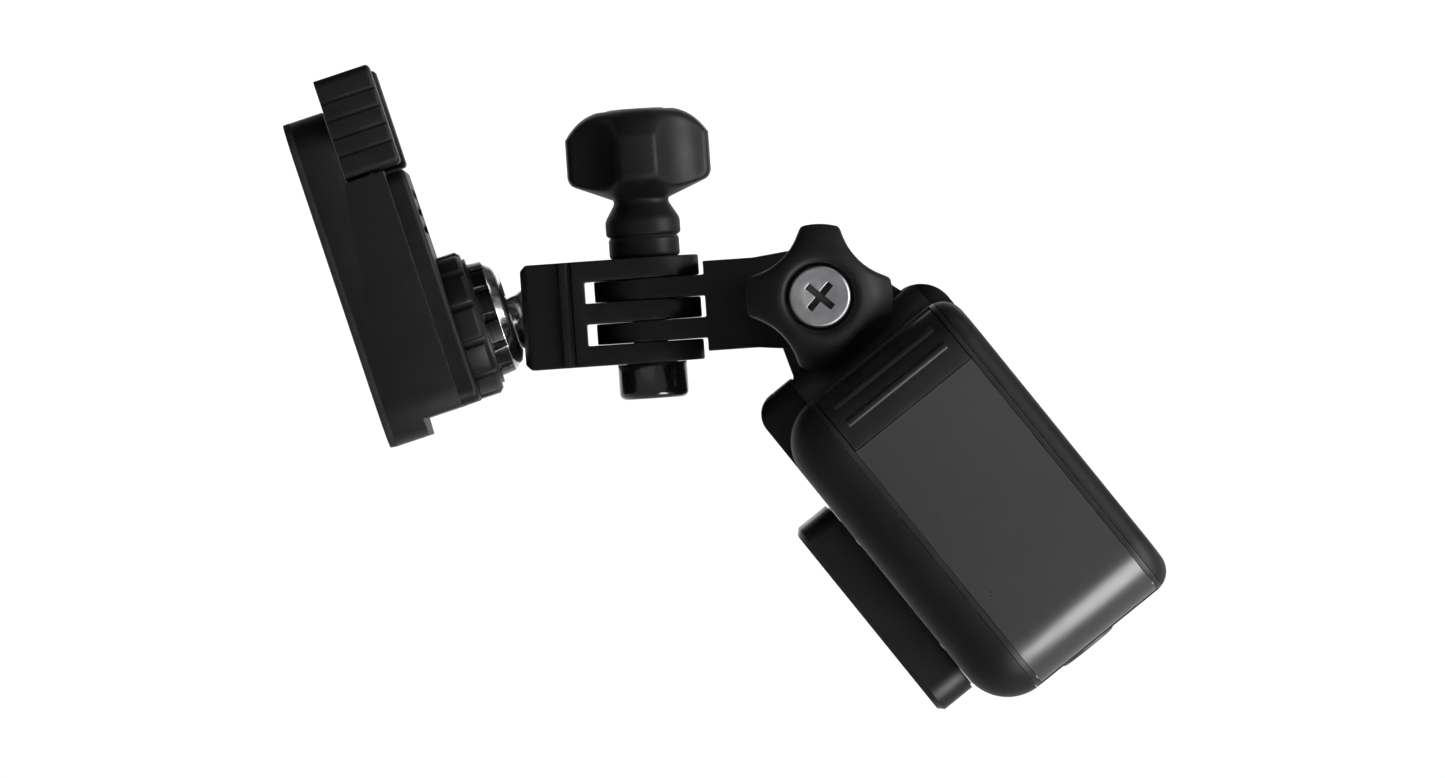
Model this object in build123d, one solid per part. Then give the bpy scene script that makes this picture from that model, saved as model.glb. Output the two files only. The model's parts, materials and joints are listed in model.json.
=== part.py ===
"""Wearable action camera on a swivelling helmet mount, held by its adhesive pad.

Row frame, millimetres: +Z up, +X away from the helmet, +Y to the wearer's left. The origin is the
centre of the adhesive face. Three local frames carry the pieces:
  mount_frame   X out of the helmet shell, Z up along the base
  arm_frame     origin at the ball joint, X along the arm, Z along the pan screw
  camera_frame  origin on the tilt screw, X from the fingers to the shutter side, Y to the left end,
                Z towards the rear screen, so the lens looks along -Z
"""

from build123d import *
import os
from math import cos, radians, sin

# ---------------------------------------------------------------- pose at rest, degrees
brow_tilt = 18.5  # the helmet shell leans back by this much under the pad
arm_rise = 4.0  # the arm above the horizontal
camera_pitch = 51.0  # the camera's height axis below the horizontal

# ---------------------------------------------------------------- fits
running = 0.05  # radial clearance of a pin or bolt in its hole
sliding = 0.15  # gap beside a piece that slides or turns
seam = 0.1  # gap between two covers
finger_play = 0.1  # gap each side of a finger in its slot

# ---------------------------------------------------------------- adhesive base
base_length = 47.8
base_width = 38.0
base_corner = 6.0
pad_thickness = 1.0
plate_top = 5.8  # height of the plate's face above the helmet
rail_top = 11.5
rail_end = 13.2  # the rails stop here, so that the grips can be reached
rail_thickness = 4.0
rail_lip = 1.6
rail_lip_height = 1.6
stop_thickness = 0.9
lip_run_in = 1.5  # the lips start this far above the rails' low end

# ---------------------------------------------------------------- buckle and its latch prongs
buckle_face = 14.2
buckle_low_end = -21.5
buckle_high_end = 13.0
tail_end = 28.2
prong_pivot_z = -7.0
prong_thickness = 2.0
prong_barrel = 1.3
barb_length = 3.0
barb_depth = 1.1
barb_top = 12.0
barb_root = 1.0  # length of the beam inside the grip
grip_gap = 0.4
grip_corner = 1.2
grip_groove_radius = 0.3
grip_groove_start = 3.4
grip_groove_pitch = 2.6
prong_swing_room = 1.6
prong_inset = 2.4  # from the rail to the middle of a prong's beam
deck_corner = 2.0
deck_edge = 0.8
deck_groove_radius = 0.6
deck_groove_start = 4.0
deck_groove_pitch = 2.6
deck_groove_margin = 3.0

# ---------------------------------------------------------------- swivel turret and ball joint
turret_z = -10.9
turret_flange_radius = 10.5
turret_flange_height = 3.3
turret_radius = 9.2
turret_top = 18.0
flange_chamfer = 0.6
flange_notch_radius = 0.7
flange_notches = 12
post_radius = 5.6
swivel_screw_radius = 1.25
swivel_head_radius = 2.4
swivel_head_height = 1.4
swivel_slot_width = 0.6
swivel_slot_depth = 0.5
washer_overlap = 2.2  # washer past the post
washer_room = 3.0  # pocket past the post
washer_thickness = 1.0
ball_radius = 5.2
ball_height = 17.2  # ball centre above the helmet
# socket collar, as radius and rise above the ball centre
collar_foot_radius = 8.3
collar_shoulder = (8.1, 2.9)
collar_rim = (7.0, 4.2)
collar_mouth = (5.9, 4.66)
collar_lip_rise = 2.6
collar_flutes = 12
collar_flute_radius = 0.7
flute_outset = 0.2  # centre of a flute or notch past the edge it is cut in
neck_radius = ball_radius - 2.2
neck_root_radius = neck_radius + 1.3
neck_start = ball_radius - 1.0
shank_length = 4.0  # of the ball stud, moulded into the arm

# ---------------------------------------------------------------- interlocking fingers, the standard three into two
finger_radius = 7.5
finger_thickness = 2.9
bolt_radius = 2.45
bolt_hole = bolt_radius + 0.15
slot_width = finger_thickness + 2 * finger_play
finger_pitch = finger_thickness + finger_play  # centre of a finger from the middle of the stack
stack_half = 1.5 * finger_thickness + slot_width
web_clearance = 1.4  # web to the tip of the finger that comes into the slot

# ---------------------------------------------------------------- arms
ball_to_pan = 24.1
pan_to_tilt = 24.1
inner_arm_start = 6.3
inner_arm_waist = 11.7
inner_arm_waist_half = 6.2
inner_arm_step = 0.5  # depth of the vertical steps on the block's sides
inner_arm_chamfer = 0.8
outer_arm_half_height = 6.35
outer_arm_root = 8.1
flare_tangent = (-2.5, 7.07)  # where the straight flare meets the round end

# ---------------------------------------------------------------- thumb screws, heights above the stack
stem_radius = 5.3
stem_foot_radius = 5.0
stem_groove_radius = 4.7
stem_groove = (2.6, 2.9, 3.3)  # start, floor and end of the groove round the stem
stem_shoulder = 5.6
stem_top = 7.8
knob_neck_radius = 3.9
knob_start = 8.4
knob_start_radius = 4.2
knob_shoulder = 10.8
knob_edge_top = 18.3
knob_dome = ((1.2, 1.1), (3.6, 2.4))  # inset and rise above the edge, up to the crown
knob_crown_inset = 6.4
knob_crown_drop = 0.3
knob_top = 21.8
knob_radius = 10.2
knob_lobes = 4
knob_waist = 7.5  # from the axis to the middle of a hollow between lobes
knob_hollow_radius = 9.0
screw_head_radius = 4.3
screw_head_thickness = 1.8
screw_head_drop = 0.7
screw_head_round = 0.5
screw_head_room = 0.5
cross_width = 0.9
cross_length = 4.6
cross_depth = 0.9
cross_turn = 22.0
nut_radius = 4.9
nut_height = 5.1
nut_crown = 1.2  # closed end of the cap nut
nut_corner = 1.0
nut_waist_radius = 3.6
nut_hex_across = 8.0
nut_hex_depth = 1.4

# ---------------------------------------------------------------- camera body
body_bottom = 6.4
body_height = 55.0
foot_depth = 4.2  # solid, with the channel that the fingers fold into
foot_half = 15.2  # narrow enough to leave room for the tilt knob beside it
foot_corner = 4.0
body_width = 71.0
body_front = -17.4
body_rear = 14.2
body_corner = 8.0
far = 80.0  # beyond every face of the camera
front_round = 7.0
rear_round = 3.4
wall = 1.8
front_seam = -10.7
rear_seam = 11.7
face_inset = 0.2  # inner face to the seams

# ---------------------------------------------------------------- foot platform and folding fingers
cradle_half = 12.6
cradle_front = -13.4
cradle_rear = 12.9
foot_front_round = 3.5
foot_rear_round = 5.0
foot_overlap = 4.5  # the foot's outline runs this far past where it is cut off inside the bay
channel_half = 10.2
channel_depth = 3.6
finger_root_half = 9.9
fold_axis = 8.5
fold_barrel = 1.4
fold_pin_radius = 0.7
fold_pin_overlap = 2.4  # pin into the wall past the channel
finger_lift = 0.6  # gap from the platform's face to a finger's straight root
magnet_radius = 1.8
magnet_y = 10.0
magnet_z = 4.5

# ---------------------------------------------------------------- side door and its latch
door_front = -9.8
door_rear = 10.85
door_start = 19.9
door_thickness = 1.6
hinge_angle = 72.0  # round the top corner, from the side face
knuckle_radius = 1.2
door_swing_room = 0.45  # the chassis stays this clear of the knuckle, so that the door can swing
door_pin_radius = 0.6
latch_start = 11.1
latch_travel = 1.5
door_rib_height = 0.3
door_rib_inset = 1.2
seal_width = 1.4
seal_inset = 0.7  # seal to the rib's edge
compartment_face = 2.1  # from the side face to the inner face with its sockets
compartment_wall = 1.5
ridge_radius = 0.7
ridge_inset = 1.6
ridge_sink = 0.4
ridge_angles = (18.0, 42.0)  # round the corner, from the side face

# ---------------------------------------------------------------- lens and its cover
lens_x = 40.3
lens_y = 14.8
cover_side = 32.8
cover_corner = 4.0
cover_proud = 6.1
cover_base_gap = 0.3
cover_step = 0.5  # the square step behind the cover is this much smaller each side
cover_chamfer = 0.8
cover_spigot_radius = 13.5
cover_spigot_depth = 1.4
cover_window = 21.0
cover_window_corner = 3.0
cover_glass_lap = 1.5  # glass past the window, each side
cover_glass_drop = 0.25
cover_glass_thickness = 1.6
barrel_radius = 9.0
barrel_length = 19.0
barrel_drop = 1.6  # the barrel's front stands this far out of the body
barrel_bore = 3.4
element_start = 0.8
element_curve = 2.2  # sphere radius of an element over its own radius
lens_elements = ((7.2, 2.6), (5.6, 2.0), (4.4, 1.8))  # radius and thickness, front to back
lens_element_pitch = 5.0

# ---------------------------------------------------------------- screens, boards and buttons
rear_screen_height = 31.0
rear_screen_width = 52.0
rear_screen_x = 38.5
screen_corner = 2.5
glass_thickness = 1.1
panel_thickness = 1.8
front_screen_height = 24.5
front_screen_width = 25.0
front_screen_x = 42.8
front_screen_y = -15.2
board_thickness = 1.2
main_board_z = 7.4
battery_size = (33.0, 34.0, 12.5)
battery_corner = (13.8, -31.0, -7.6)
button_proud = 0.5
shutter_y = -16.0
shutter_length = 15.0
shutter_width = 9.0
shutter_z = -1.5
mode_x = 47.0
mode_length = 10.0
mode_width = 5.0
mode_z = 0.5

boss_radius = 2.8
screw_radius = 0.8
screw_length = 10.0
corner_screw_inset = 2.6  # from the corner's centre, each way
speaker_y = 20.8

body_top = body_bottom + body_height
bay_floor = body_bottom + foot_depth
bay_height = body_top - bay_floor
half_width = body_width / 2
middle_x = (bay_floor + body_top) / 2
rail_inner = base_width / 2 - rail_thickness
prong_middle = rail_inner - prong_inset
prong_inner_face = prong_middle - prong_thickness / 2
deck_low = rail_top - rail_lip_height - sliding
corner_x = body_top - body_corner
corner_y = half_width - body_corner

mount_frame = Location((0, 0, 0), (0, -brow_tilt, 0))
ball_place = mount_frame * Pos(ball_height, 0, turret_z)
arm_frame = Location(tuple(ball_place.position), (0, -arm_rise, 0))
pan_frame = arm_frame * Pos(ball_to_pan, 0, 0)
tilt_place = arm_frame * Pos(ball_to_pan + pan_to_tilt, 0, 0)
camera_frame = Location(tuple(tilt_place.position), (0, camera_pitch, 0))
outer_frame = Location(tuple(tilt_place.position), (0, -arm_rise, 0))
turret_frame = mount_frame * Pos(0, 0, turret_z)
tilt_screw_turn = Location((0, 0, 0), (90, 0, 0))  # takes +Z to -Y, the wearer's right


# ---------------------------------------------------------------- small helpers
def block(x0, x1, y0, y1, z0, z1):
    """A box between two limits on each axis."""
    return Pos((x0 + x1) / 2, (y0 + y1) / 2, (z0 + z1) / 2) * Box(x1 - x0, y1 - y0, z1 - z0)


def rod(axis, radius, start, end, at=(0, 0)):
    """A cylinder along an axis; at is its place on the other two axes, in X, Y, Z order."""
    middle = (start + end) / 2
    upright = Cylinder(radius, end - start)
    if axis == "X":
        return Pos(middle, at[0], at[1]) * Rot(0, 90, 0) * upright
    if axis == "Y":
        return Pos(at[0], middle, at[1]) * Rot(90, 0, 0) * upright
    return Pos(at[0], at[1], middle) * upright


def tile(x, y, length, width, corner, z0, z1):
    """A plate with round corners, flat in XY, between two heights."""
    outline = Pos(x, y, z0) * RectangleRounded(length, width, corner)
    return extrude(outline, z1 - z0)


def turned(points, axis=Axis.Z):
    """A solid of revolution about Z from (radius, height) points."""
    outline = make_face(Polyline(*[(r, 0, z) for r, z in points], close=True))
    return revolve(outline, axis)


def mirrored(shape):
    """The shape and its copy on the other side of the XZ plane."""
    return shape + mirror(shape, Plane.XZ)


def group(shapes):
    """Separate solids kept in one node."""
    return Part() + list(shapes)


# ---------------------------------------------------------------- adhesive base
def base_outline(x0, x1):
    outline = Plane.YZ.offset(x0) * RectangleRounded(base_width, base_length, base_corner)
    return extrude(outline, x1 - x0)


def adhesive_pad():
    return base_outline(0, pad_thickness)


def base_plate():
    plate = base_outline(pad_thickness, plate_top)
    rim = base_outline(plate_top, rail_top)
    inner = rail_inner
    inside = block(plate_top, rail_top, -inner, inner, -base_length, base_length)
    rails = (rim - inside) & block(plate_top, rail_top, -base_width, base_width, buckle_low_end, rail_end)
    lip_low = rail_top - rail_lip_height
    lip = block(lip_low, rail_top, inner - rail_lip, inner, buckle_low_end + lip_run_in, rail_end)
    rails += mirrored(lip)
    barb_low = barb_top - barb_length
    notch_depth = inner + barb_depth + sliding
    notch = block(plate_top, lip_low, inner, notch_depth, barb_low - sliding, barb_top + sliding)
    stop_high = buckle_low_end + stop_thickness
    stop = block(plate_top, lip_low - 2 * sliding, -inner, inner, buckle_low_end, stop_high)
    return plate + (rails - mirrored(notch)) + stop


# ---------------------------------------------------------------- buckle and its latch prongs
def buckle_frame():
    low = plate_top + sliding
    flange_half = rail_inner - sliding
    deck_half = rail_inner - rail_lip - sliding
    flange_low_end = buckle_low_end + stop_thickness
    flange = block(low, deck_low, -flange_half, flange_half, flange_low_end, buckle_high_end)
    deck = block(deck_low, buckle_face, -deck_half, deck_half, buckle_low_end, buckle_high_end)
    deck = fillet(deck.edges().filter_by(Axis.X), deck_corner)
    deck = fillet(deck.edges().group_by(Axis.X)[-1], deck_edge)
    frame = flange + deck
    # a channel each side for the prong, with a round socket at its root
    inner = prong_inner_face - prong_swing_room
    channel = block(low, deck_low, inner, flange_half, prong_pivot_z, buckle_high_end)
    socket = rod("X", prong_barrel + sliding, low, deck_low, at=(prong_middle, prong_pivot_z))
    frame -= mirrored(channel + socket)
    # the turret's post passes through the deck, and its washer turns in a pocket behind
    frame -= rod("X", post_radius + running, low, buckle_face, at=(0, turret_z))
    frame -= rod("X", post_radius + washer_room, low, deck_low, at=(0, turret_z))
    # three shallow grooves across the upper deck, for the thumb
    groove_half = deck_half - deck_groove_margin
    for step in range(3):
        groove_z = deck_groove_start + deck_groove_pitch * step
        frame -= rod("Y", deck_groove_radius, -groove_half, groove_half, at=(buckle_face, groove_z))
    return frame


def latch_prong(side):
    low = plate_top + 2 * sliding
    high = deck_low - sliding
    outer = prong_middle + prong_thickness / 2
    grip_low = rail_end + grip_gap
    beam = block(low, high, prong_inner_face, outer, prong_pivot_z, grip_low + barb_root)
    barrel = rod("X", prong_barrel, low, high, at=(prong_middle, prong_pivot_z))
    barb = block(low, high, outer, rail_inner + barb_depth, barb_top - barb_length, barb_top)
    grip = block(low, buckle_face, prong_inner_face, base_width / 2, grip_low, tail_end)
    grip = fillet(grip.edges().filter_by(Axis.X), grip_corner)
    grip = fillet(grip.edges().group_by(Axis.X)[-1], grip_corner / 2)
    for step in range(4):
        groove_z = grip_low + grip_groove_start + grip_groove_pitch * step
        grip -= rod("X", grip_groove_radius, low, buckle_face, at=(base_width / 2, groove_z))
    prong = beam + barrel + barb + grip
    return prong if side > 0 else mirror(prong, Plane.XZ)


# ---------------------------------------------------------------- swivel turret and ball joint
def seat_ball():
    """The space that the ball turns in, in the turret's own frame with Z out of the helmet."""
    return Pos(0, 0, ball_height) * Sphere(ball_radius + running)


def swivel_turret():
    flange_low = buckle_face + running
    flange_top = flange_low + turret_flange_height
    shape = turned(
        [
            (0, deck_low),
            (post_radius, deck_low),
            (post_radius, flange_low),
            (turret_flange_radius, flange_low),
            (turret_flange_radius, flange_top - flange_chamfer),
            (turret_flange_radius - flange_chamfer, flange_top),
            (turret_radius, flange_top),
            (turret_radius, turret_top),
            (0, turret_top),
        ]
    )
    shape -= seat_ball()
    shape -= rod("Z", swivel_screw_radius + running, deck_low, ball_height)
    # finger notches round the flange, the first half a step from its top
    edge = turret_flange_radius + flute_outset
    notch = rod("Z", flange_notch_radius, flange_low, flange_top, at=(edge, 0))
    for turn in range(flange_notches):
        shape -= Rot(0, 0, (turn + 0.5) * 360 / flange_notches) * notch
    return Rot(0, 90, 0) * shape


def socket_collar():
    bore = ball_radius + running
    lip_radius = (bore**2 - collar_lip_rise**2) ** 0.5
    lip_low = collar_lip_rise - sliding
    foot = (collar_foot_radius, turret_top - ball_height + running)
    top = (0, collar_mouth[1])
    shape = turned([(0, foot[1]), foot, collar_shoulder, collar_rim, collar_mouth, top])
    shape -= Sphere(bore)
    shape -= turned([(0, lip_low), (lip_radius, lip_low), (lip_radius, collar_lip_rise), collar_mouth, top])
    # grip flutes round the collar
    flute = rod("Z", collar_flute_radius, foot[1], collar_shoulder[1], at=(foot[0] + flute_outset, 0))
    for turn in range(collar_flutes):
        shape -= Rot(0, 0, 360 * turn / collar_flutes) * flute
    return Pos(ball_height, 0, 0) * Rot(0, 90, 0) * shape


def swivel_washer():
    start = deck_low - washer_thickness
    return rod("X", post_radius + washer_overlap, start, deck_low) - rod("X", swivel_screw_radius + running, start, deck_low)


def swivel_screw():
    seat = deck_low - washer_thickness
    tip = ball_height - ball_radius - sliding
    start = seat - swivel_head_height
    head = rod("X", swivel_head_radius, start, seat)
    shank = rod("X", swivel_screw_radius, seat, tip)
    half = swivel_slot_width / 2
    slot = block(start, start + swivel_slot_depth, -half, half, -swivel_head_radius, swivel_head_radius)
    return head + shank - slot


def ball_stud():
    """Arm frame, with its centre at the origin: the ball, a cone to the arm, and a plain shank in the arm."""
    start = inner_arm_start
    cone = turned([(0, 0), (neck_radius, 0), (neck_radius, neck_start), (neck_root_radius, start), (0, start)])
    shank = rod("X", neck_radius, start, start + shank_length)
    return Sphere(ball_radius) + Rot(0, 90, 0) * cone + shank


# ---------------------------------------------------------------- the two arms
def ear(reach, half_root, low, high):
    """A finger: a round end on the pivot at the origin, straight back to a root at -reach. Flat in XY."""
    outline = Pos(-reach / 2, 0) * Rectangle(reach, 2 * half_root) + Circle(finger_radius)
    return extrude(Pos(0, 0, low) * outline, high - low)


def nut_pocket():
    """The hexagon that stops a nut from turning, at the low face of a stack."""
    across = RegularPolygon(nut_hex_across / 2 + running, 6, major_radius=False)
    return extrude(Pos(0, 0, -stack_half - running) * across, nut_hex_depth + running)


def inner_arm():
    """In the pan frame: three fingers on the pan screw, and a block back to the ball stud."""
    start = inner_arm_start - ball_to_pan
    waist = inner_arm_waist - ball_to_pan
    web = -finger_radius - web_clearance
    shape = ear(-waist, finger_radius, -stack_half, stack_half)
    head = block(start, waist, -inner_arm_waist_half, inner_arm_waist_half, -stack_half, stack_half)
    shape += chamfer(head.edges().group_by(Axis.X)[0], inner_arm_chamfer)
    for side in (-1, 1):
        low = side * finger_pitch - slot_width / 2
        shape -= block(web, finger_radius, -finger_radius, finger_radius, low, low + slot_width)
    shape -= rod("Z", bolt_hole, -stack_half, stack_half)
    shape -= nut_pocket()
    shape -= rod("X", neck_radius, start, start + shank_length)
    # a shallow upright groove on each side, where the block meets its fingers
    low = (waist + web) / 2
    step = block(low - inner_arm_step, low, finger_radius - inner_arm_step, finger_radius, -stack_half, stack_half)
    return shape - mirrored(step)


def outer_arm():
    """In the outer frame, with the tilt screw at its origin: two fingers on the pan screw, three on the tilt."""
    pan_x = -pan_to_tilt
    body_start = pan_x + outer_arm_root
    web = -finger_radius - web_clearance
    half = outer_arm_half_height
    shape = block(body_start, web, -stack_half, stack_half, -half, half)
    root = Pos(pan_x + outer_arm_root / 2, 0) * Rectangle(outer_arm_root, 2 * stack_half)
    for side in (-1, 1):
        low = side * finger_pitch - finger_thickness / 2
        tongue = Pos(0, 0, low) * (Pos(pan_x, 0) * Circle(finger_radius) + root)
        finger = extrude(tongue, finger_thickness)
        shape += finger & block(-far, body_start, -stack_half, stack_half, -far, far)
    x, z = flare_tangent
    flare = make_face(Polyline((web, -half), (web, half), (x, z), (x, -z), close=True))
    plate = Plane.XZ * (flare + Circle(finger_radius))
    for step in (-1, 0, 1):
        high = 2 * step * finger_pitch + finger_thickness / 2
        shape += Pos(0, high, 0) * extrude(plate, finger_thickness)
    shape -= rod("Y", bolt_hole, -stack_half, stack_half)
    shape -= rod("Z", bolt_hole, -far, far, at=(pan_x, 0))
    shape -= tilt_screw_turn * nut_pocket()
    return shape


# ---------------------------------------------------------------- thumb screws, along +Z from the middle of a stack
def thumb_knob():
    rise = stack_half + running
    start, floor, end = stem_groove
    stem = [
        (0, 0),
        (stem_foot_radius, 0),
        (stem_foot_radius, start),
        (stem_groove_radius, floor),
        (stem_radius, end),
        (stem_radius, stem_shoulder),
        (knob_neck_radius, stem_top),
        (knob_neck_radius, knob_start),
        (0, knob_start),
    ]
    edge = knob_start_radius
    head = [(0, knob_start), (edge, knob_start), (knob_radius, knob_shoulder), (knob_radius, knob_edge_top)]
    head += [(knob_radius - inset, knob_edge_top + up) for inset, up in knob_dome]
    head += [(knob_radius - knob_crown_inset, knob_top - knob_crown_drop), (0, knob_top)]
    knob = turned(head)
    hollow = rod("Z", knob_hollow_radius, 0, knob_top, at=(knob_waist + knob_hollow_radius, 0))
    for turn in range(knob_lobes):
        knob -= Rot(0, 0, (turn + 0.5) * 360 / knob_lobes) * hollow
    knob += turned(stem)
    seat = knob_top - screw_head_thickness - screw_head_drop
    knob -= rod("Z", screw_head_radius + screw_head_room, seat, knob_top)
    knob -= rod("Z", bolt_radius + running, 0, knob_top)
    return Pos(0, 0, rise) * knob


def thumb_bolt():
    rise = stack_half + running
    head_top = rise + knob_top - screw_head_drop
    head_low = head_top - screw_head_thickness
    shank = rod("Z", bolt_radius, -stack_half - nut_height + nut_crown + running, head_low)
    head = rod("Z", screw_head_radius, head_low, head_top)
    head = fillet(head.edges().group_by(Axis.Z)[-1], screw_head_round)
    arm = Box(cross_length, cross_width, 2 * cross_depth)
    cross = arm + Rot(0, 0, 90) * arm
    return shank + head - Pos(0, 0, head_top) * Rot(0, 0, cross_turn) * cross


def cap_nut():
    hexagon = RegularPolygon(nut_hex_across / 2, 6, major_radius=False)
    tongue = extrude(Pos(0, 0, -stack_half) * hexagon, nut_hex_depth - running)
    low = -stack_half - nut_height
    cap = rod("Z", nut_radius, low, -stack_half - running)
    cap = fillet(cap.edges().group_by(Axis.Z)[0], nut_corner)
    cap += rod("Z", nut_waist_radius, -stack_half - running, -stack_half)
    return tongue + cap - rod("Z", bolt_radius + running, low + nut_crown, 0)


# ---------------------------------------------------------------- camera shells
def bay_solid(inset=0.0):
    """The rounded block above the foot, or the same drawn in by a wall."""
    height = bay_height - 2 * inset
    width = body_width - 2 * inset
    solid = tile(middle_x, 0, height, width, body_corner - inset, body_front + inset, body_rear - inset)
    ends = solid.edges().group_by(Axis.Z)
    solid = fillet(ends[0], front_round - inset)
    return fillet(solid.edges().group_by(Axis.Z)[-1], max(rear_round - inset, 0.5))


def foot_solid():
    """The foot under the bay: what its top and side outlines have in common."""
    high = bay_floor + body_corner + foot_overlap
    length = high - body_bottom
    middle = (body_bottom + high) / 2
    top = tile(middle, 0, length, 2 * foot_half, foot_corner, body_front, body_rear)
    side = block(body_bottom, high, -foot_half, foot_half, body_front, body_rear)
    edges = side.edges().filter_by(Axis.Y).group_by(Axis.X)[0].sort_by(Axis.Z)
    side = fillet(edges[0], foot_front_round)
    edges = side.edges().filter_by(Axis.Y).group_by(Axis.X)[0].sort_by(Axis.Z)
    side = fillet(edges[-1], foot_rear_round)
    return (top & side) - block(bay_floor + body_corner, high, -far, far, -far, far)


def body_ring(z0, z1):
    """The slice of the hollow body between two depths."""
    return block(0, far, -far, far, z0, z1)


def lens_seat(radius, z0, z1):
    return rod("Z", radius, z0, z1, at=(lens_x, lens_y))


def front_shell(outer, inner):
    shell = (outer - inner) & body_ring(body_front - 1, front_seam - seam / 2)
    shell -= cradle_block(seam)
    land = tile(lens_x, lens_y, cover_side, cover_side, cover_corner, body_front - 0.01, body_front + 2.2)
    shell += land & outer
    shell -= lens_seat(cover_spigot_radius + sliding, body_front - 1, body_front + cover_spigot_depth + sliding)
    shell -= lens_seat(barrel_radius + sliding, body_front - 1, body_front + 5)
    shell -= front_screen_outline(seam, body_front - 1, body_front + glass_thickness + seam)
    shell -= front_screen_outline(-1.2, body_front - 1, body_front + 5)
    # microphone slots, beside the lens cover's lower edge
    for row in range(4):
        shell -= block(16.0 + 1.6 * row, 16.8 + 1.6 * row, -22, -12, body_front - 1, body_front + 3)
    shell -= rod("Z", 1.0 + seam, body_front - 1, body_front + 3, at=(25.5, -27.0))
    return shell


def front_screen_outline(grow, z0, z1):
    size = (front_screen_height + 2 * grow, front_screen_width + 2 * grow)
    return tile(front_screen_x, front_screen_y, *size, screen_corner, z0, z1)


def rear_screen_outline(grow, z0, z1):
    size = (rear_screen_height + 2 * grow, rear_screen_width + 2 * grow)
    return tile(rear_screen_x, 0, *size, screen_corner, z0, z1)


def rear_bezel(outer, inner):
    shell = (outer - inner) & body_ring(rear_seam + seam / 2, body_rear + 1)
    shell -= cradle_block(seam)
    shell += rear_screen_outline(3.0, body_rear - 2.2, body_rear) & outer
    shell -= rear_screen_outline(seam, body_rear - glass_thickness - seam, body_rear + 1)
    shell -= rear_screen_outline(-1.2, body_rear - 5, body_rear + 1)
    # speaker slots under the screen
    for row in range(7):
        slot_y = speaker_y + 1.6 * (row - 3)
        shell -= block(15.4, 17.6, slot_y - 0.4, slot_y + 0.4, body_rear - 3, body_rear + 1)
    shell -= rod("Z", 0.8 + seam, body_rear - 4, body_rear + 1, at=(57.6, 0))
    return shell


def hinge_centre():
    reach = body_corner - knuckle_radius
    return (corner_x + reach * sin(radians(hinge_angle)), -corner_y - reach * cos(radians(hinge_angle)))


def chassis(outer, inner):
    ring = (outer - inner) & body_ring(front_seam + seam / 2, rear_seam - seam / 2)
    ring -= cradle_block(seam)
    side = -half_width
    # the side is open behind the door, from the latch round the top corner to the hinge
    opening = block(0, 80, side - 1, -corner_y, door_front - seam, door_rear + seam)
    opening -= block(corner_x, 80, hinge_centre()[1], -corner_y, door_front - 1, door_rear + 1)
    opening -= block(0, latch_start - sliding - latch_travel, side - 1, 0, door_front - 1, door_rear + 1)
    ring -= opening
    swing = knuckle_radius + door_swing_room
    ring -= rod("Z", swing, door_front - seam, door_rear + seam, at=hinge_centre())
    ring -= rod("Z", door_pin_radius, front_seam, rear_seam, at=hinge_centre())
    # the inner face carries the battery mouth and the sockets
    face_low = side + compartment_face
    face = block(bay_floor + wall, body_top - wall, face_low, face_low + compartment_wall, front_seam + 0.2, rear_seam - 0.2)
    face &= inner
    face -= block(battery_low(0) - 0.4, battery_high(0) + 0.4, -60, 0, battery_low(2) - 0.4, battery_high(2) + 0.4)
    face -= block(49.0, 55.0, -60, 0, -5.5, 4.5)
    ring += face
    # button wells
    ring -= shutter_outline(seam, body_top - 5, body_top + 1)
    ring -= mode_outline(seam, half_width - 5, half_width + 1)
    # two struts tie the lower wall to the upper one behind the battery
    for y in (25.2, 30.0):
        ring += block(bay_floor + 1, body_top - 1, y, y + 1.4, -9.6, -8.0) & outer
    # bosses that the main board is screwed down on
    for spot in screw_spots():
        ring += rod("Z", boss_radius, -9.6, main_board_z, at=spot) & outer
        ring -= rod("Z", screw_radius + running, main_board_z - screw_length, main_board_z + 1, at=spot)
    return ring


def battery_low(axis):
    return battery_corner[axis]


def battery_high(axis):
    return battery_corner[axis] + battery_size[axis]


def cradle_block(grow=0.0):
    """The room in the foot for the fingers' cradle."""
    half = cradle_half + grow
    return block(0, bay_floor, -half, half, cradle_front - grow, cradle_rear + grow)


def finger_cradle(outer):
    """An insert in the foot, with the channel that the fingers stand in and fold into."""
    cradle = cradle_block() & outer
    cradle -= block(0, body_bottom + channel_depth, -far, far, -channel_half, channel_half)
    length = channel_half + fold_pin_overlap
    for y in (-finger_pitch, finger_pitch):
        cradle -= rod("Z", fold_pin_radius, -length, length, at=(fold_axis, y))
    for spot in magnet_spots():
        cradle -= rod("X", magnet_radius, body_bottom + channel_depth - seam, bay_floor, at=spot)
    return cradle


def magnet_spots():
    return [(y, z) for y in (-magnet_y, magnet_y) for z in (-magnet_z, magnet_z)]


# ---------------------------------------------------------------- side door and its latch
def skin(outer, thick_inner, z0, z1):
    """The outer wall between two depths, as thick as the door."""
    return (outer - thick_inner) & block(0, 80, -60, -corner_y, z0, z1)


def side_door(outer, thick_inner):
    x, y = hinge_centre()
    door = skin(outer, thick_inner, door_front, door_rear)
    door &= block(door_start, 80, -60, y, door_front, door_rear)
    door += rod("Z", knuckle_radius, door_front, door_rear, at=(x, y))
    door -= rod("Z", door_pin_radius + running, door_front, door_rear, at=(x, y))
    # inner rib that the seal sits on
    low = -half_width + door_thickness - 0.01
    rib = block(door_start + 1.5, corner_x - 1.0, low, low + 0.3, door_front + 1.2, door_rear - 1.2)
    return door + rib


def door_seal():
    low = -half_width + door_thickness
    outer = block(door_start + 2.2, corner_x - 1.6, low + 0.3, low + 0.45, door_front + 2, door_rear - 2)
    inner = block(door_start + 3.6, corner_x - 3.0, low, low + 1, door_front + 3.4, door_rear - 3.4)
    return outer - inner


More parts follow.
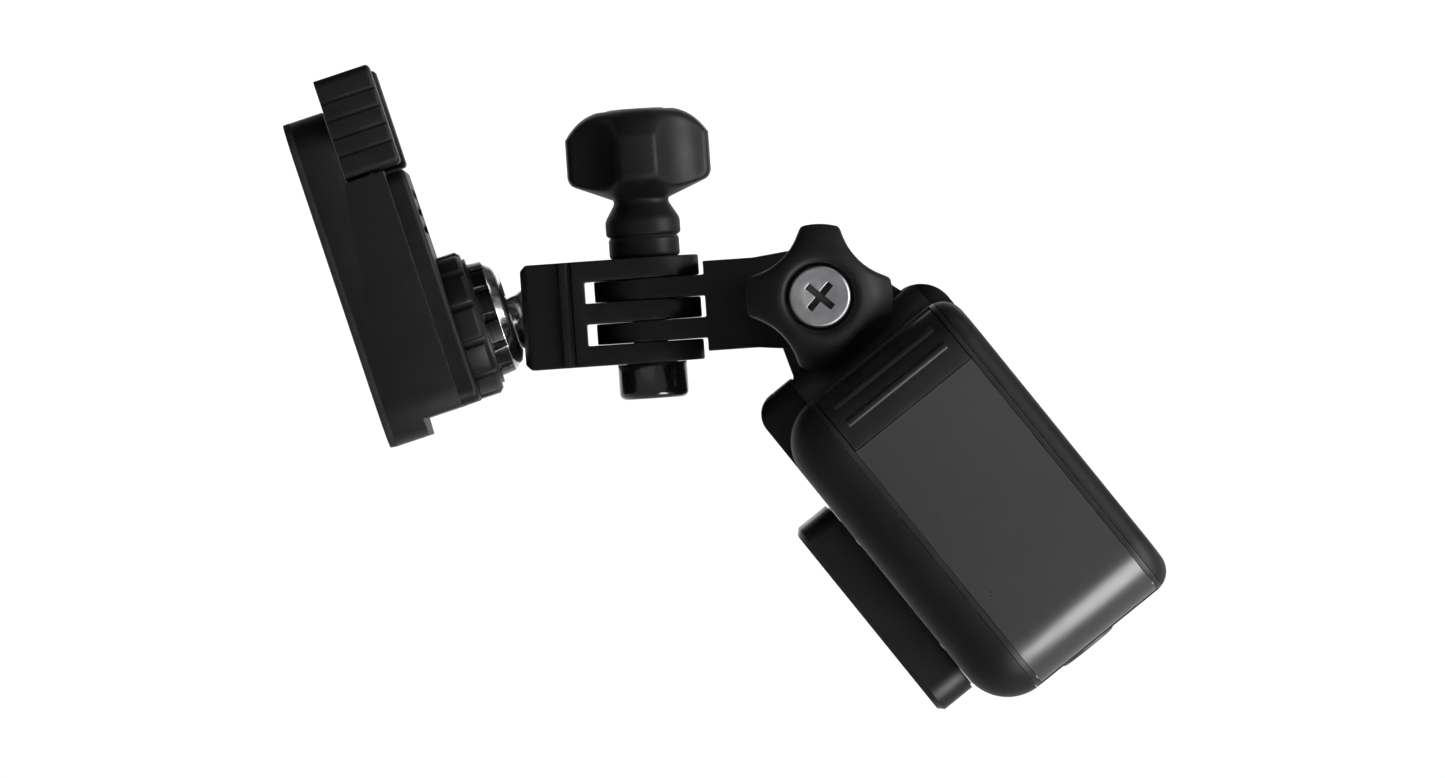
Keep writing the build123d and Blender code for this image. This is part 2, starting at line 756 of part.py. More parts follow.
def door_latch(outer, thick_inner):
    latch = skin(outer, thick_inner, door_front + seam, door_rear - seam)
    latch &= block(latch_start, door_start - sliding, -far, -corner_y, door_front, door_rear)
    # raised ridges for the thumb
    reach = body_corner - ridge_sink
    for angle in ridge_angles:
        x = bay_floor + body_corner - reach * sin(radians(angle))
        y = -corner_y - reach * cos(radians(angle))
        latch += rod("Z", ridge_radius, door_front + ridge_inset, door_rear - ridge_inset, at=(x, y))
    return latch


# ---------------------------------------------------------------- lens cover, lens and screens
def lens_cover_frame():
    z_front = body_front - cover_proud
    z_back = body_front - cover_base_gap
    plate = cover_tile(cover_side, cover_corner, z_front, z_back)
    plate = chamfer(plate.edges().group_by(Axis.Z)[0], cover_chamfer)
    step = cover_tile(cover_side - 2 * cover_step, cover_corner - cover_step, z_back, body_front - running)
    spigot = lens_seat(cover_spigot_radius, body_front - running, body_front + cover_spigot_depth)
    frame = plate + step + spigot
    seat = cover_window + 2 * cover_glass_lap
    seat_corner = cover_window_corner + cover_glass_lap / 3
    frame -= cover_tile(seat, seat_corner, z_front - 1, z_front + cover_glass_thickness)
    return frame - cover_tile(cover_window, cover_window_corner, z_front - 1, body_front + 5)


def lens_cover_glass():
    z_front = body_front - cover_proud
    size = cover_window + 2 * (cover_glass_lap - running)
    corner = cover_window_corner + cover_glass_lap / 3
    return cover_tile(size, corner, z_front + cover_glass_drop, z_front + cover_glass_thickness)


def cover_tile(side, corner, z0, z1):
    """A square with round corners, centred on the lens."""
    return tile(lens_x, lens_y, side, side, corner, z0, z1)


def barrel_front():
    return body_front - barrel_drop


def lens_barrel():
    front = barrel_front()
    shape = lens_seat(barrel_radius, front, front + barrel_length)
    z = front + 0.8
    for radius, thickness in lens_elements:
        shape -= lens_seat(radius + running, z, z + thickness)
        z += lens_element_pitch
    shape -= lens_seat(3.4, front - 1, front + barrel_length + 1)
    front_cone = turned([(0, front - 0.01), (lens_elements[0][0] + 0.8, front - 0.01), (lens_elements[0][0], front + 0.9), (0, front + 0.9)])
    return shape - Pos(lens_x, lens_y, 0) * front_cone


def lens_glass():
    """Every element of the lens, front to back."""
    front = barrel_front()
    z = front + 0.8
    elements = []
    for radius, thickness in lens_elements:
        disc = lens_seat(radius, z + running, z + thickness - running)
        dome = Pos(lens_x, lens_y, z + 2.2 * radius) * Sphere(2.2 * radius)
        elements.append(disc & dome)
        z += lens_element_pitch
    return group(elements)


def rear_screen_glass():
    return rear_screen_outline(0, body_rear - glass_thickness, body_rear - 0.02)


def rear_display_panel():
    top = body_rear - 2.2 - seam
    return rear_screen_outline(-1.6, top - panel_thickness, top)


def front_screen_glass():
    return front_screen_outline(0, body_front + 0.02, body_front + glass_thickness)


def front_display_panel():
    low = body_front + wall + seam
    return front_screen_outline(-1.6, low, low + panel_thickness)


def main_board():
    size = (bay_height - 2 * wall - 3, body_width - 2 * wall - 6)
    board = tile(middle_x, 1.5, *size, 3.0, main_board_z, main_board_z + board_thickness)
    for spot in screw_spots():
        board -= rod("Z", screw_radius + running, main_board_z - 1, main_board_z + 3, at=spot)
    return board


def board_chips():
    spots = ((22.0, 20.0, 9.0, 9.0), (36.0, 22.0, 11.0, 11.0), (50.0, 8.0, 6.0, 8.0), (22.0, 6.0, 5.0, 7.0))
    low = main_board_z - 1.1
    return group(tile(x, y, a, b, 0.4, low, main_board_z) for x, y, a, b in spots)


def heat_spreader():
    low = main_board_z - 1.9
    plate = block(19.0, 46.0, 10.5, 26.8, low, low + 0.7)
    for step in range(4):
        plate -= block(21.5 + 6 * step, 23.5 + 6 * step, 12.5, 24.8, low - 1, low + 2)
    return plate


def sensor_board():
    back = barrel_front() + barrel_length
    board = tile(lens_x, lens_y, 17.0, 17.0, 1.5, back + 1.6, back + 2.6)
    sensor = tile(lens_x, lens_y, 9.0, 11.0, 0.5, back + 0.3, back + 1.6)
    return board + sensor


def battery():
    x, y, z = battery_corner
    a, b, c = battery_size
    cell = tile(x + a / 2, y + b / 2, a, b, 2.0, z, z + c)
    return cell - block(x + 6, x + a - 6, y - 1, y + 0.8, z + c - 3.2, z + c + 1)


def battery_tray():
    x, y, z = battery_corner
    a, b, c = battery_size
    gap = 0.25
    thick = 0.9
    start = y + 2.0
    outer = block(x - gap - thick, x + a + gap + thick, start, y + b + gap + thick, z - gap - thick, z + c + gap + thick)
    inner = block(x - gap, x + a + gap, start - 5, y + b + gap, z - gap, z + c + gap)
    tray = outer - inner
    for step in range(3):
        tray -= block(x + 5 + 9 * step, x + 10 + 9 * step, y + 8, y + b - 6, z - 5, z)
    return tray


def usb_port():
    shell = block(49.4, 52.0, -32.2, -25.2, -5.0, 4.0)
    shell = fillet(shell.edges().filter_by(Axis.Y), 1.25)
    return shell - block(50.0, 51.4, -33, -26.5, -4.2, 3.2)


def card_slot():
    return block(52.6, 54.6, -32.0, -19.0, -5.2, 4.2) - block(53.0, 54.2, -33.0, -20.0, -4.7, 3.7)


def memory_card():
    return block(53.1, 54.1, -32.4, -20.2, -4.5, 3.5)


def speaker():
    body = tile(16.6, speaker_y, 5.4, 13.0, 1.5, 9.3, 11.4)
    return body - tile(16.6, speaker_y, 3.6, 11.0, 1.0, 10.9, 11.5)


def microphone():
    return tile(18.9, -17.0, 5.6, 9.0, 1.0, body_front + 2.6, body_front + 4.0)


def status_light_front():
    return rod("Z", 1.0, body_front + 0.05, body_front + 2.4, at=(25.5, -27.0))


def status_light_rear():
    return rod("Z", 0.8, body_rear - 2.6, body_rear - 0.05, at=(57.6, 0))


# ---------------------------------------------------------------- buttons
def shutter_outline(grow, x0, x1):
    length = shutter_length + 2 * grow
    width = shutter_width + 2 * grow
    outline = Plane.YZ.offset(x0) * Pos(shutter_y, shutter_z) * RectangleRounded(length, width, width / 2 - 0.1)
    return extrude(outline, x1 - x0)


def shutter_button():
    cap = shutter_outline(0, body_top - wall, body_top + button_proud)
    cap = fillet(cap.edges().group_by(Axis.X)[-1], 0.4)
    skirt = shutter_outline(0.8, body_top - wall - 1.4, body_top - wall - 0.7)
    return cap + skirt + shutter_outline(-1.2, body_top - wall - 1.4, body_top - wall)


def mode_outline(grow, y0, y1):
    length = mode_length + 2 * grow
    width = mode_width + 2 * grow
    outline = Plane.XZ.offset(-y0) * Pos(mode_x, mode_z) * RectangleRounded(length, width, width / 2 - 0.1)
    return extrude(outline, -(y1 - y0))


def mode_button():
    cap = mode_outline(0, half_width - wall, half_width + button_proud)
    cap = fillet(cap.edges().group_by(Axis.Y)[-1], 0.4)
    skirt = mode_outline(0.8, half_width - wall - 1.4, half_width - wall - 0.7)
    return cap + skirt + mode_outline(-1.0, half_width - wall - 1.4, half_width - wall)


def button_switches():
    """A dome switch behind each button, on its own small pad."""
    gap = 0.7
    under_shutter = body_top - wall - 1.4 - gap
    under_mode = half_width - wall - 1.4 - gap
    first = rod("X", 2.0, under_shutter - 1.0, under_shutter, at=(shutter_y, shutter_z))
    first += block(under_shutter - 1.8, under_shutter - 1.0, shutter_y - 4, shutter_y + 4, shutter_z - 3, shutter_z + 3)
    second = rod("Y", 1.6, under_mode - 1.0, under_mode, at=(mode_x, mode_z))
    second += block(mode_x - 3, mode_x + 3, under_mode - 1.8, under_mode - 1.0, mode_z - 2.2, mode_z + 2.2)
    return group([first, second])


# ---------------------------------------------------------------- folding fingers
def folding_finger(side):
    middle = side * finger_pitch
    root = body_bottom + finger_lift
    outline = Plane.XZ * (
        Circle(finger_radius)
        + make_face(
            Polyline((-0.5, -finger_radius + 0.1), (root, -finger_root_half), (root, finger_root_half), (-0.5, finger_radius - 0.1), close=True)
        )
    )
    plate = Pos(0, middle + finger_thickness / 2, 0) * extrude(outline, finger_thickness)
    barrel = rod("Z", fold_barrel, -finger_root_half, finger_root_half, at=(fold_axis, middle))
    bridge = block(root - 0.5, fold_axis, middle - 1.2, middle + 1.2, -finger_root_half, finger_root_half)
    finger = plate + barrel + bridge
    finger -= rod("Y", bolt_hole, middle - 3, middle + 3)
    return finger - rod("Z", fold_pin_radius + running, -20, 20, at=(fold_axis, middle))


def folding_pins():
    length = channel_half + fold_pin_overlap
    return group(rod("Z", fold_pin_radius, -length, length, at=(fold_axis, y)) for y in (-finger_pitch, finger_pitch))


def finger_magnets():
    floor = body_bottom + channel_depth
    return group(rod("X", magnet_radius, floor, bay_floor, at=spot) for spot in magnet_spots())


def door_hinge_pin():
    return rod("Z", door_pin_radius, front_seam + 0.1, rear_seam - 0.1, at=hinge_centre())


def screw_spots():
    """Two in the round corners at the lens end, two beside the battery tray."""
    corner = body_corner - corner_screw_inset
    beside = battery_high(1) + 4.2
    low = bay_floor + wall
    high = body_top - wall
    return [
        (bay_floor + corner, half_width - corner),
        (body_top - corner, half_width - corner),
        (low + boss_radius - 0.2, beside),
        (high - boss_radius + 0.2, beside),
    ]


def case_screws():
    """They hold the main board down on the chassis bosses."""
    seat = main_board_z + board_thickness
    heads = [rod("Z", 1.5, seat, seat + 1.0, at=spot) for spot in screw_spots()]
    shanks = [rod("Z", screw_radius, seat - screw_length, seat, at=spot) for spot in screw_spots()]
    return group(heads + shanks)


def build_nodes():
    outer = bay_solid() + foot_solid()
    inner = bay_solid(wall)
    thick_inner = bay_solid(door_thickness)
    mount = {
        "adhesive_pad": adhesive_pad(),
        "base_plate": base_plate(),
        "buckle_frame": buckle_frame(),
        "latch_prong_left": latch_prong(1),
        "latch_prong_right": latch_prong(-1),
    }
    turret = {
        "swivel_turret": swivel_turret(),
        "socket_collar": socket_collar(),
        "swivel_washer": swivel_washer(),
        "swivel_screw": swivel_screw(),
    }
    pan = {
        "inner_arm": inner_arm(),
        "pan_knob": thumb_knob(),
        "pan_bolt": thumb_bolt(),
        "pan_nut": cap_nut(),
    }
    outer_group = {
        "outer_arm": outer_arm(),
        "tilt_knob": tilt_screw_turn * Rot(0, 0, arm_rise) * thumb_knob(),
        "tilt_bolt": tilt_screw_turn * thumb_bolt(),
        "tilt_nut": tilt_screw_turn * cap_nut(),
    }
    camera = {
        "front_shell": front_shell(outer, inner),
        "rear_bezel": rear_bezel(outer, inner),
        "chassis": chassis(outer, inner),
        "finger_cradle": finger_cradle(outer),
        "side_door": side_door(outer, thick_inner),
        "door_seal": door_seal(),
        "door_latch": door_latch(outer, thick_inner),
        "door_hinge_pin": door_hinge_pin(),
        "lens_cover_frame": lens_cover_frame(),
        "lens_cover_glass": lens_cover_glass(),
        "lens_barrel": lens_barrel(),
        "lens_elements": lens_glass(),
        "sensor_board": sensor_board(),
        "rear_screen_glass": rear_screen_glass(),
        "rear_display_panel": rear_display_panel(),
        "front_screen_glass": front_screen_glass(),
        "front_display_panel": front_display_panel(),
        "main_board": main_board(),
        "board_chips": board_chips(),
        "heat_spreader": heat_spreader(),
        "battery": battery(),
        "battery_tray": battery_tray(),
        "usb_port": usb_port(),
        "card_slot": card_slot(),
        "memory_card": memory_card(),
        "speaker": speaker(),
        "microphone": microphone(),
        "status_light_front": status_light_front(),
        "status_light_rear": status_light_rear(),
        "shutter_button": shutter_button(),
        "mode_button": mode_button(),
        "button_switches": button_switches(),
        "folding_finger_left": folding_finger(1),
        "folding_finger_right": folding_finger(-1),
        "folding_pins": folding_pins(),
        "finger_magnets": finger_magnets(),
        "case_screws": case_screws(),
    }
    placed = {name: mount_frame * shape for name, shape in mount.items()}
    placed |= {name: turret_frame * shape for name, shape in turret.items()}
    placed |= {name: pan_frame * shape for name, shape in pan.items()}
    placed["ball_stud"] = arm_frame * ball_stud()
    placed |= {name: outer_frame * shape for name, shape in outer_group.items()}
    placed |= {name: camera_frame * shape for name, shape in camera.items()}
    return placed


os.makedirs("parts", exist_ok=True)
for name, shape in build_nodes().items():
    export_step(shape, f"parts/{name}.step")
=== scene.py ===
# %% [markdown]
# # An action camera on a swivelling helmet mount
# A small camera hangs from an adhesive base by a buckle, a ball joint, two linked arms and two thumb
# screws. The working model already fixes every size, place and joint. This lesson dresses it: it softens
# the moulded edges, rebuilds the pieces whose shape carries the look, and gives each surface a finish
# made of nodes.

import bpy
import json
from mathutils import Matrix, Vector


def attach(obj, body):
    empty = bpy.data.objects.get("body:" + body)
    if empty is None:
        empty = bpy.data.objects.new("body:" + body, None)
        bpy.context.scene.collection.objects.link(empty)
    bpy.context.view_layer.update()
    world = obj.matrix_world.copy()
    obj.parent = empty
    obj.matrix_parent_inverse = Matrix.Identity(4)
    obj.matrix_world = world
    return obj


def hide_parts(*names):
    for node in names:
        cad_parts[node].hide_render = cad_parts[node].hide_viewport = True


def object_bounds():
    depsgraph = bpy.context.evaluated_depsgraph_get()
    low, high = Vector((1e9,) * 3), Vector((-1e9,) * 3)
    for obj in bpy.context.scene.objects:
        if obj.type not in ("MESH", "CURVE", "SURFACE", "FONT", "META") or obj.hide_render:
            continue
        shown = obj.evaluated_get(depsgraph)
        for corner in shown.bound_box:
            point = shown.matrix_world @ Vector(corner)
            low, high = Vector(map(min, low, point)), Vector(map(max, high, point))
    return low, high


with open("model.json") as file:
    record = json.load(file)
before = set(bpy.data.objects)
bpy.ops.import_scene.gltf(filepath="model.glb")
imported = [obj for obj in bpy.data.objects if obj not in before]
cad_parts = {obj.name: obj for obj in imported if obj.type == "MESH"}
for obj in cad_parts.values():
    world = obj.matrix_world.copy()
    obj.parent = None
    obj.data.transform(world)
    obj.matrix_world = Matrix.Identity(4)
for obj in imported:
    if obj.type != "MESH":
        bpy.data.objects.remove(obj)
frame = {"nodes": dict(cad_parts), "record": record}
cad_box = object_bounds()

# %% Tools and units
import json
from math import cos, exp, log, pi, radians, sin, tau

import bmesh
import bpy
from mathutils import Matrix, Vector

MM = 0.001
joints = {joint["name"]: joint for joint in frame["record"]["behaviour"]["joints"]}
nodes = frame["nodes"]
print("joints:", len(joints), "nodes:", len(nodes))

# %% [markdown]
# ## Three places to work from
# The arms rise a little, the tilt screw lies across them, and the camera hangs at its own angle.
# Measuring everything in the world's axes would turn each flat face into a slope, so each of these groups
# gets its own axes, read from the joints. A piece is then drawn square to its own group and carried into
# place at the end.

# %% Local axes from the joints
def local_axes(origin, x_axis, z_axis):
    """A matrix whose columns are the group's own axes, at its own origin."""
    x = Vector(x_axis).normalized()
    z = Vector(z_axis).normalized()
    y = z.cross(x)
    return Matrix.Translation(Vector(origin)) @ Matrix((x, y, z)).transposed().to_4x4()


out_of_shell = Vector(joints["turret_swivel"]["axis"])
ball_centre = Vector(joints["ball_tilt"]["pos_m"])
pan_centre = Vector(joints["arm_pan"]["pos_m"])
tilt_centre = Vector(joints["camera_tilt"]["pos_m"])
along_arm = tilt_centre - ball_centre
to_the_top = -Vector(joints["shutter_press"]["axis"])
to_the_rear = -Vector(joints["lens_cover_twist"]["axis"])

pan_axes = local_axes(pan_centre, along_arm, joints["arm_pan"]["axis"])
tilt_screw_axes = local_axes(tilt_centre, (1, 0, 0), (0, -1, 0))
camera_axes = local_axes(tilt_centre, to_the_top, to_the_rear)
print("ball to pan", round((pan_centre - ball_centre).length / MM, 2), "mm")


# %% Measure a node along its own group's axes
def measure(node, axes):
    """The lowest and highest corners of a node in a group's axes, in metres."""
    inverse = axes.inverted()
    points = [inverse @ v.co for v in nodes[node].data.vertices]
    low = Vector([min(p[i] for p in points) for i in range(3)])
    high = Vector([max(p[i] for p in points) for i in range(3)])
    return low, high


body_low, body_high = measure("chassis", camera_axes)
print("camera body", [round(s / MM, 1) for s in body_high - body_low], "mm")

# %% [markdown]
# ## Softening moulded edges
# No moulded piece has a knife edge: the mould's own corners leave a radius of a few tenths of a
# millimetre, and that thin round catches a line of light. The working model has sharp edges. They could
# be rounded with a bump in the material, but the outline would stay hard, so each piece is copied, its
# flat faces are joined up, and a bevel is cut along every edge that turns sharply.

# %% A copy with its edges rounded off
SHARP = radians(28)
SMOOTH_OVER = radians(40)
SAME_POINT = 0.001 * MM
SAME_PLANE = radians(0.4)


def finished(obj, body, stands_for=(), material=None):
    """Gives a piece its finish, the body that it rides on and the nodes that it stands for."""
    if material is not None:
        obj.data.materials.clear()
        obj.data.materials.append(material)
    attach(obj, body)
    if stands_for:
        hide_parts(*stands_for)
    return obj


def object_from(name, bm):
    """Turns a bmesh into an object in the scene."""
    mesh = bpy.data.meshes.new(name)
    bm.to_mesh(mesh)
    bm.free()
    obj = bpy.data.objects.new(name, mesh)
    bpy.context.scene.collection.objects.link(obj)
    return obj


def settle(obj, sharp):
    """Applies the modifiers, then shades smoothly between the edges that stay sharp."""
    ready = obj.evaluated_get(bpy.context.evaluated_depsgraph_get())
    mesh = bpy.data.meshes.new_from_object(ready)
    obj.modifiers.clear()
    obj.data = mesh
    mesh.polygons.foreach_set("use_smooth", [True] * len(mesh.polygons))
    mesh.set_sharp_from_angle(angle=sharp)
    return obj


def softened(node, radius, steps=3):
    """A copy of a node with a small round along its sharp edges. The radius is in millimetres."""
    bm = bmesh.new()
    bm.from_mesh(nodes[node].data)
    bmesh.ops.remove_doubles(bm, verts=bm.verts, dist=SAME_POINT)
    bmesh.ops.dissolve_limit(
        bm, angle_limit=SAME_PLANE, verts=bm.verts, edges=bm.edges, delimit={"NORMAL"}
    )
    obj = object_from(node + "_soft", bm)
    bevel = obj.modifiers.new("soft edges", "BEVEL")
    bevel.width = radius * MM
    bevel.segments = steps
    bevel.limit_method = "ANGLE"
    bevel.angle_limit = SHARP
    bevel.miter_outer = "MITER_ARC"
    bevel.use_clamp_overlap = True
    return settle(obj, SMOOTH_OVER)


# %% [markdown]
# ## Turned and lobed pieces
# Knobs and lens rings come off a lathe, or from a mould that was made on one. Spinning a profile keeps
# every ring even. A knob's lobes are then only a rule for how far out each ring goes at each angle, so
# one function makes them all, and the studio's round floor too.

# %% Spin a profile, with an optional rule for its radius
ON_THE_AXIS = 1e-6
TURNED_EDGE = radians(50)


def spun(name, profile, axes, steps=96, rule=None):
    """A closed solid from (radius, height) points in millimetres, spun about the group's Z axis."""
    bm = bmesh.new()
    rings = []
    for radius, height in profile:
        if radius < ON_THE_AXIS:
            rings.append([bm.verts.new((0, 0, height * MM))])
            continue
        ring = []
        for step in range(steps):
            angle = tau * step / steps
            out = rule(angle, radius, height) if rule else radius
            ring.append(bm.verts.new((out * cos(angle) * MM, out * sin(angle) * MM, height * MM)))
        rings.append(ring)
    for lower, upper in zip(rings, rings[1:]):
        for step in range(steps):
            after = (step + 1) % steps
            corners = [
                lower[step % len(lower)],
                lower[after % len(lower)],
                upper[after % len(upper)],
                upper[step % len(upper)],
            ]
            unique = list(dict.fromkeys(corners))
            if len(unique) > 2:
                bm.faces.new(unique)
    bmesh.ops.recalc_face_normals(bm, faces=bm.faces)
    bm.transform(axes)
    return settle(object_from(name, bm), TURNED_EDGE)


MOST_OF_A_SIDE = 0.45


def rounded(profile, radius, steps=4):
    """The same profile with a curve in place of each inner corner. Sizes are in millimetres."""
    points = [Vector(p) for p in profile]
    out = [profile[0]]
    for before, corner, after in zip(points, points[1:], points[2:]):
        back = before - corner
        on = after - corner
        reach = min(radius, back.length * MOST_OF_A_SIDE, on.length * MOST_OF_A_SIDE)
        start = corner + back.normalized() * reach
        end = corner + on.normalized() * reach
        for step in range(steps + 1):
            t = step / steps
            point = start * (1 - t) ** 2 + corner * 2 * t * (1 - t) + end * t**2
            out.append((point.x, point.y))
    out.append(profile[-1])
    return out


# %% [markdown]
# ## Finishes
# Almost everything here is black, so the finishes have to be told apart by their gloss and grain. Each
# one is a Principled shader. What is the same all over is set on the shader's own sockets. What varies,
# such as the grain, the polish and a faint mottle in the colour, is made by noise in the piece's own
# coordinates, so that it travels with the piece when a joint moves. Handling rubs a moulding's edges
# paler. A bevel node finds them: where the rounded normal leaves the true one, there is an edge. Noise
# breaks the line up, since real wear is never even.

# %% A material with mottled colour, uneven polish, fine relief and worn edges
WEAR_WIDTH = 0.35 * MM
WEAR_PATCH = 2.5 * MM
MOTTLE_SIZE = 12 * MM
SMEAR_SIZE = 5 * MM


def linked(tree, kind, **values):
    """A node with its inputs set by name."""
    node = tree.nodes.new(kind)
    for key, value in values.items():
        node.inputs[key.replace("_", " ")].default_value = value
    return node


def ramp(tree, source, low, high, dark, light):
    """Colours a value from dark to light between two of its levels."""
    tones = tree.nodes.new("ShaderNodeValToRGB")
    tones.color_ramp.elements[0].position = low
    tones.color_ramp.elements[1].position = high
    tones.color_ramp.elements[0].color = (*dark, 1)
    tones.color_ramp.elements[1].color = (*light, 1)
    tree.links.new(source, tones.inputs["Fac"])
    return tones.outputs["Color"]


def worn_edges(tree, vector):
    """A mask that is 1 on convex edges, broken up by noise as rubbing breaks it up."""
    round_off = tree.nodes.new("ShaderNodeBevel")
    round_off.samples = 4
    round_off.inputs["Radius"].default_value = WEAR_WIDTH
    surface = tree.nodes.new("ShaderNodeNewGeometry")
    agree = tree.nodes.new("ShaderNodeVectorMath")
    agree.operation = "DOT_PRODUCT"
    tree.links.new(round_off.outputs["Normal"], agree.inputs[0])
    tree.links.new(surface.outputs["Normal"], agree.inputs[1])
    edge = linked(tree, "ShaderNodeMapRange", From_Min=0.995, From_Max=0.9, To_Min=0.0, To_Max=1.0)
    tree.links.new(agree.outputs["Value"], edge.inputs["Value"])
    patches = linked(tree, "ShaderNodeTexNoise", Scale=1 / WEAR_PATCH, Detail=6.0, Roughness=0.7)
    tree.links.new(vector, patches.inputs["Vector"])
    broken = linked(tree, "ShaderNodeMapRange", From_Min=0.42, From_Max=0.62, To_Min=0.0, To_Max=1.0)
    tree.links.new(patches.outputs["Fac"], broken.inputs["Value"])
    both = tree.nodes.new("ShaderNodeMath")
    both.operation = "MULTIPLY"
    tree.links.new(edge.outputs["Result"], both.inputs[0])
    tree.links.new(broken.outputs["Result"], both.inputs[1])
    return both.outputs["Value"]


def finish(
    name,
    colour,
    rough,
    grain,
    relief,
    mottle=0.15,
    uneven=0.08,
    cells=False,
    stretch=(1, 1, 1),
    wear=0.0,
    **fixed,
):
    """A surface finish. grain is the size of its texture and relief its depth, both in millimetres."""
    material = bpy.data.materials.new(name)
    material.use_nodes = True
    tree = material.node_tree
    shader = tree.nodes["Principled BSDF"]
    for key, value in fixed.items():
        shader.inputs[key.replace("_", " ")].default_value = value
    place = tree.nodes.new("ShaderNodeTexCoord")
    scaled = linked(tree, "ShaderNodeMapping", Scale=stretch)
    tree.links.new(place.outputs["Object"], scaled.inputs["Vector"])
    vector = scaled.outputs["Vector"]

    broad = linked(tree, "ShaderNodeTexNoise", Scale=1 / MOTTLE_SIZE, Detail=5.0, Roughness=0.6)
    tree.links.new(vector, broad.inputs["Vector"])
    dark = [c * (1 - mottle) for c in colour]
    light = [min(1, c * (1 + mottle)) for c in colour]
    tones = ramp(tree, broad.outputs["Fac"], 0.3, 0.7, dark, light)
    smears = linked(
        tree, "ShaderNodeTexNoise", Scale=1 / SMEAR_SIZE, Detail=6.0, Roughness=0.65, Distortion=0.6
    )
    tree.links.new(vector, smears.inputs["Vector"])
    polish = linked(
        tree,
        "ShaderNodeMapRange",
        From_Min=0.3,
        From_Max=0.7,
        To_Min=max(0.02, rough - uneven),
        To_Max=min(1, rough + uneven),
    )
    tree.links.new(smears.outputs["Fac"], polish.inputs["Value"])
    tree.links.new(polish.outputs["Result"], shader.inputs["Roughness"])

    if wear:
        rubbed = tree.nodes.new("ShaderNodeMix")
        rubbed.data_type = "RGBA"
        rubbed.inputs["B"].default_value = (*[min(1, c + wear) for c in colour], 1)
        tree.links.new(worn_edges(tree, vector), rubbed.inputs["Factor"])
        tree.links.new(tones, rubbed.inputs["A"])
        tones = rubbed.outputs["Result"]
    tree.links.new(tones, shader.inputs["Base Color"])

    if cells:
        texture = linked(tree, "ShaderNodeTexVoronoi", Scale=1 / (grain * MM))
        height = texture.outputs["Distance"]
    else:
        texture = linked(tree, "ShaderNodeTexNoise", Scale=1 / (grain * MM), Detail=3.0)
        height = texture.outputs["Fac"]
    tree.links.new(vector, texture.inputs["Vector"])
    bump = linked(tree, "ShaderNodeBump", Strength=1.0, Distance=relief * MM)
    tree.links.new(height, bump.inputs["Height"])
    tree.links.new(bump.outputs["Normal"], shader.inputs["Normal"])
    return material


# %% [markdown]
# ## Plastics and rubber
# The mount is glass-filled nylon from a spark-eroded mould, which leaves a fine even pebble. The knobs
# come from a smoother mould. The camera's shells are over-moulded in a soft-touch rubber that scatters
# light, and its door is a smooth satin panel, the one surface that shows a clean reflection.

# %% Plastic, rubber and foam finishes
spark_nylon = finish("spark_nylon", (0.0045, 0.0045, 0.0048), 0.52, 0.3, 0.02, cells=True, wear=0.018,
                     Specular_IOR_Level=0.16)
smooth_nylon = finish("smooth_nylon", (0.0055, 0.0055, 0.0058), 0.4, 0.3, 0.006, wear=0.018,
                      Specular_IOR_Level=0.25)
knob_satin = finish("knob_satin", (0.006, 0.006, 0.0063), 0.5, 0.3, 0.012, wear=0.025,
                    Specular_IOR_Level=0.16)
soft_touch = finish("soft_touch", (0.0045, 0.0046, 0.0048), 0.52, 0.16, 0.008, uneven=0.05, wear=0.01,
                    Specular_IOR_Level=0.16)
filled_plastic = finish("filled_plastic", (0.007, 0.007, 0.0073), 0.44, 0.35, 0.01, mottle=0.25, wear=0.02,
                        Specular_IOR_Level=0.25)
door_satin = finish("door_satin", (0.021, 0.0212, 0.022), 0.3, 0.25, 0.0006, mottle=0.04, uneven=0.03,
                    wear=0.02, Specular_IOR_Level=0.6)
latch_plastic = finish("latch_plastic", (0.006, 0.006, 0.0065), 0.4, 0.25, 0.006, wear=0.02,
                       Specular_IOR_Level=0.25)
button_plastic = finish("button_plastic", (0.012, 0.012, 0.0125), 0.44, 0.2, 0.008, cells=True, wear=0.03)
gloss_cap = finish("gloss_cap", (0.004, 0.004, 0.0045), 0.16, 0.6, 0.001, uneven=0.05, Coat_Weight=0.3,
                   Coat_Roughness=0.1)
seal_rubber = finish("seal_rubber", (0.03, 0.03, 0.032), 0.6, 0.2, 0.01)
foam_tape = finish("foam_tape", (0.012, 0.012, 0.013), 0.9, 0.35, 0.06, mottle=0.35, cells=True,
                   Specular_IOR_Level=0.2)
print("plastic and rubber finishes made")

# %% [markdown]
# ## Metal, glass and the insides
# The ball and the mouth of its collar are polished steel, with faint marks from the lathe. The rest of
# the collar is blackened. The screws are zinc plated, and the shade inside their cross recesses is painted
# in as a dark finish. Lens glass carries a thin coating that tints its reflection, which the shader's thin
# film gives. The boards inside are seen only when the door is open, so they have simple but true finishes.

# %% Metal finishes
polished_steel = finish("polished_steel", (0.62, 0.62, 0.63), 0.16, 0.12, 0.0015, mottle=0.08,
                        stretch=(1, 1, 6), Metallic=1.0)
blackened_steel = finish("blackened_steel", (0.02, 0.02, 0.022), 0.32, 0.15, 0.002, uneven=0.1, wear=0.5,
                         Metallic=1.0)
zinc_plate = finish("zinc_plate", (0.3, 0.3, 0.31), 0.36, 0.3, 0.006, mottle=0.25, uneven=0.14,
                    Metallic=1.0)
# Painted shade: a dark colour given to the faces inside the screws' cross recesses, standing in for the
# shade there.
recess_painted_shade = finish("recess_painted_shade", (0.03, 0.029, 0.028), 0.6, 0.2, 0.01, mottle=0.4, Metallic=0.5)
stamped_steel = finish("stamped_steel", (0.5, 0.5, 0.51), 0.34, 0.2, 0.003, stretch=(8, 1, 1),
                       Metallic=1.0)
lens_anodised = finish("lens_anodised", (0.02, 0.02, 0.021), 0.35, 0.15, 0.003, stretch=(1, 1, 5),
                       Metallic=0.6)
copper_sheet = finish("copper_sheet", (0.72, 0.36, 0.22), 0.36, 0.3, 0.004, mottle=0.25, stretch=(6, 1, 1),
                      Metallic=1.0)

